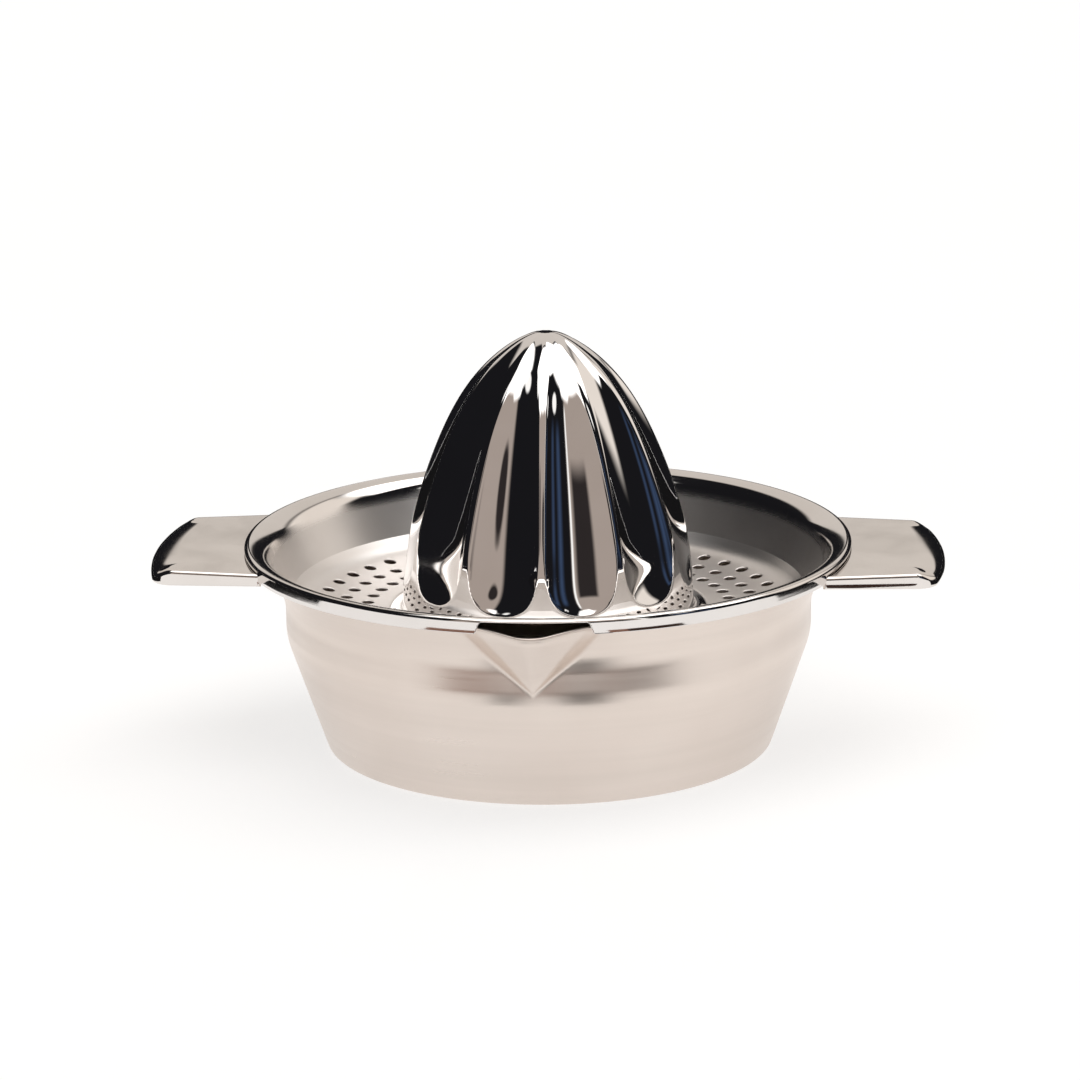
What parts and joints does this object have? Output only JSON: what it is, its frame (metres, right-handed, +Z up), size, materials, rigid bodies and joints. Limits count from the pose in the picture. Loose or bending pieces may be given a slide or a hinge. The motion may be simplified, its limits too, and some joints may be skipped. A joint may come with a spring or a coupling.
{
  "type": "hand citrus juicer",
  "caption": "Nesting steel hand juicer: a bowl with tab handles and a pouring lip, and a lift-out perforated strainer carrying a fluted reamer.",
  "frame": {"origin": "centre of the bowl's flat underside, on the plane the juicer stands on", "axes": "+Z up along the axis of bowl and reamer, X through the two handles, -Y towards the pouring spout"},
  "size_m": [0.1804, 0.1412, 0.0953],
  "materials": {
    "bowl_steel": "satin",
    "handle_steel": "polished",
    "tray_steel": "polished",
    "reamer_steel": "mirror polished"
  },
  "bodies": {
    "bowl": {"juice_bowl": "bowl_steel", "handle_left": "handle_steel", "handle_right": "handle_steel"},
    "strainer": {"strainer_tray": "tray_steel", "reamer_dome": "reamer_steel"}
  },
  "joints": [
    {"name": "strainer_lift", "type": "slide", "parent": "bowl", "child": "strainer", "axis": [0, 0, 1], "range_m": [0, 0.06]}
  ]
}
